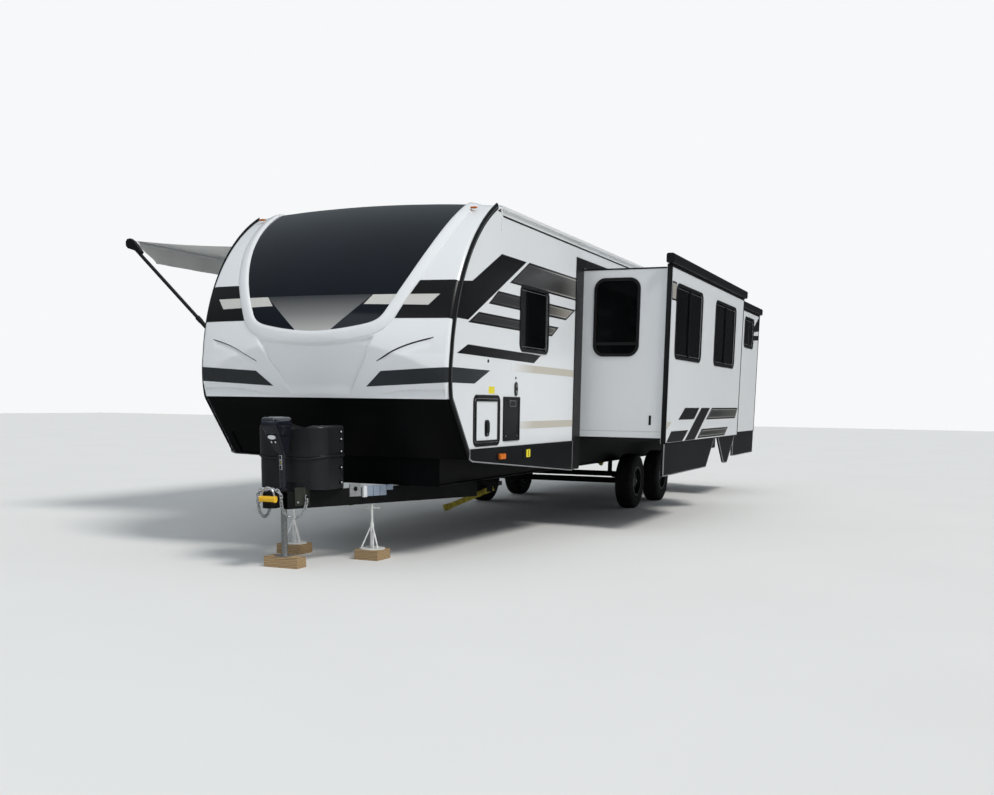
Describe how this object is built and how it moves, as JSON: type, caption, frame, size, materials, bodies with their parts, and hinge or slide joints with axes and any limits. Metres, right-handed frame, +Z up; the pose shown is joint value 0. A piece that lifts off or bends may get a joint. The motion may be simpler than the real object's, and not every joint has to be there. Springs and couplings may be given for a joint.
{
  "type": "travel caravan",
  "caption": "Bumper-pull caravan with slide-out rooms, a rolled-out awning, entry and baggage doors and swing-down stabiliser legs, parked on its wheels and tongue jack.",
  "frame": {"origin": "centre of the coupler's ball socket, 550 mm above the ground", "axes": "+X to the road side, +Y back from the ball along the trailer, +Z up"},
  "size_m": [5.6579, 11.552, 3.402],
  "materials": {
    "white_panel": "smooth laminated fibreglass, slightly glossy",
    "white_moulding": "moulded gelcoat, glossy",
    "black_gloss": "polished black panel",
    "black_moulding": "satin black moulding",
    "grey_skirt": "dark grey painted sheet",
    "black_trim": "matt black trim and seals",
    "dark_glass": "dark tinted glass",
    "roof_membrane": "white roofing membrane",
    "floor_deck": "laminated floor deck with a dark underside",
    "frame_black": "black painted steel",
    "tyre_rubber": "black rubber",
    "wheel_alloy": "machined alloy",
    "bright_zinc": "zinc plated steel",
    "yellow_zinc": "yellow passivated zinc plate",
    "white_steel": "white painted steel",
    "cover_plastic": "satin black moulded plastic",
    "timber_wood": "weathered sawn timber",
    "awning_cloth": "grey coated awning cloth",
    "white_metal": "white powder coat",
    "lamp_red": "red lens"
  },
  "bodies": {
    "trailer": {"awning_arms": "white_metal", "awning_fabric": "awning_cloth", "awning_roller": "awning_cloth", "axles": "frame_black", "bottle_cover": "cover_plastic", "bottle_tray": "frame_black", "bumper": "frame_black", "chassis_rails": "frame_black", "coupler": "frame_black", "cross_members": "frame_black", "floor": "floor_deck", "front_cap": "white_moulding", "front_lower": "black_moulding", "headers": "white_panel", "jack_tube": "black_trim", "rear_wall": "white_panel", "roof": "roof_membrane", "roof_units": "white_panel", "safety_chains": "bright_zinc", "sidewall_curb_front": "white_panel", "sidewall_curb_rear": "white_panel", "sidewall_road_front": "white_panel", "sidewall_road_rear": "white_panel", "skirts": "grey_skirt", "springs": "frame_black", "stands": "white_steel", "tail_lamps": "lamp_red", "timbers": "timber_wood", "tongue_rails": "frame_black", "wall_trims": "black_trim", "window_glass": "dark_glass", "windshield": "black_gloss"},
    "main_slide": {"main_slide_box": "white_panel", "main_slide_face": "white_panel", "main_slide_glass": "dark_glass", "main_slide_skirt": "grey_skirt", "main_slide_trim": "black_trim"},
    "rear_slide": {"rear_slide_box": "white_panel", "rear_slide_face": "white_panel", "rear_slide_glass": "dark_glass", "rear_slide_skirt": "grey_skirt", "rear_slide_trim": "black_trim"},
    "entry_door": {"entry_door": "white_panel", "entry_door_glass": "dark_glass"},
    "baggage_door_road": {"baggage_door_road": "white_panel"},
    "baggage_door_curb": {"baggage_door_curb": "white_panel"},
    "jack_leg": {"jack_leg": "bright_zinc"},
    "entry_step": {"entry_step": "frame_black"},
    "wheel_road_front": {"tyre_road_front": "tyre_rubber", "rim_road_front": "wheel_alloy"},
    "stabiliser_road_front": {"stabiliser_road_front": "yellow_zinc"},
    "wheel_road_rear": {"tyre_road_rear": "tyre_rubber", "rim_road_rear": "wheel_alloy"},
    "stabiliser_road_rear": {"stabiliser_road_rear": "yellow_zinc"},
    "wheel_curb_front": {"tyre_curb_front": "tyre_rubber", "rim_curb_front": "wheel_alloy"},
    "stabiliser_curb_front": {"stabiliser_curb_front": "yellow_zinc"},
    "wheel_curb_rear": {"tyre_curb_rear": "tyre_rubber", "rim_curb_rear": "wheel_alloy"},
    "stabiliser_curb_rear": {"stabiliser_curb_rear": "yellow_zinc"}
  },
  "joints": [
    {"name": "wheel_road_front_spin", "type": "hinge", "parent": "trailer", "child": "wheel_road_front", "pos_m": [1.057, 6.78, -0.193], "axis": [1, 0, 0], "continuous": true},
    {"name": "wheel_road_rear_spin", "type": "hinge", "parent": "trailer", "child": "wheel_road_rear", "pos_m": [1.057, 8.11, -0.193], "axis": [1, 0, 0], "continuous": true},
    {"name": "wheel_curb_front_spin", "type": "hinge", "parent": "trailer", "child": "wheel_curb_front", "pos_m": [-1.057, 6.78, -0.193], "axis": [1, 0, 0], "continuous": true},
    {"name": "wheel_curb_rear_spin", "type": "hinge", "parent": "trailer", "child": "wheel_curb_rear", "pos_m": [-1.057, 8.11, -0.193], "axis": [1, 0, 0], "continuous": true},
    {"name": "stabiliser_road_front_swing", "type": "hinge", "parent": "trailer", "child": "stabiliser_road_front", "pos_m": [1, 2.2, 0.005], "axis": [0, -1, 0], "range_deg": [-23, 50]},
    {"name": "stabiliser_road_rear_swing", "type": "hinge", "parent": "trailer", "child": "stabiliser_road_rear", "pos_m": [1, 10.6, 0.005], "axis": [0, -1, 0], "range_deg": [-23, 50]},
    {"name": "stabiliser_curb_front_swing", "type": "hinge", "parent": "trailer", "child": "stabiliser_curb_front", "pos_m": [-1, 2.2, 0.005], "axis": [0, 1, 0], "range_deg": [-23, 50]},
    {"name": "stabiliser_curb_rear_swing", "type": "hinge", "parent": "trailer", "child": "stabiliser_curb_rear", "pos_m": [-1, 10.6, 0.005], "axis": [0, 1, 0], "range_deg": [-23, 50]},
    {"name": "main_slide_travel", "type": "slide", "parent": "trailer", "child": "main_slide", "axis": [1, 0, 0], "range_m": [-0.9, 0]},
    {"name": "rear_slide_travel", "type": "slide", "parent": "trailer", "child": "rear_slide", "axis": [1, 0, 0], "range_m": [-0.61, 0]},
    {"name": "entry_door_swing", "type": "hinge", "parent": "trailer", "child": "entry_door", "pos_m": [-1.232, 4.347, 1.35], "axis": [0, 0, 1], "range_deg": [0, 170]},
    {"name": "baggage_door_road_lift", "type": "hinge", "parent": "trailer", "child": "baggage_door_road", "pos_m": [1.232, 1.555, 0.854], "axis": [0, -1, 0], "range_deg": [0, 165]},
    {"name": "baggage_door_curb_lift", "type": "hinge", "parent": "trailer", "child": "baggage_door_curb", "pos_m": [-1.232, 1.555, 0.854], "axis": [0, 1, 0], "range_deg": [0, 165]},
    {"name": "jack_leg_travel", "type": "slide", "parent": "trailer", "child": "jack_leg", "axis": [0, 0, 1], "range_m": [0, 0.38]},
    {"name": "entry_step_travel", "type": "slide", "parent": "trailer", "child": "entry_step", "axis": [1, 0, 0], "range_m": [0, 0.3]}
  ]
}
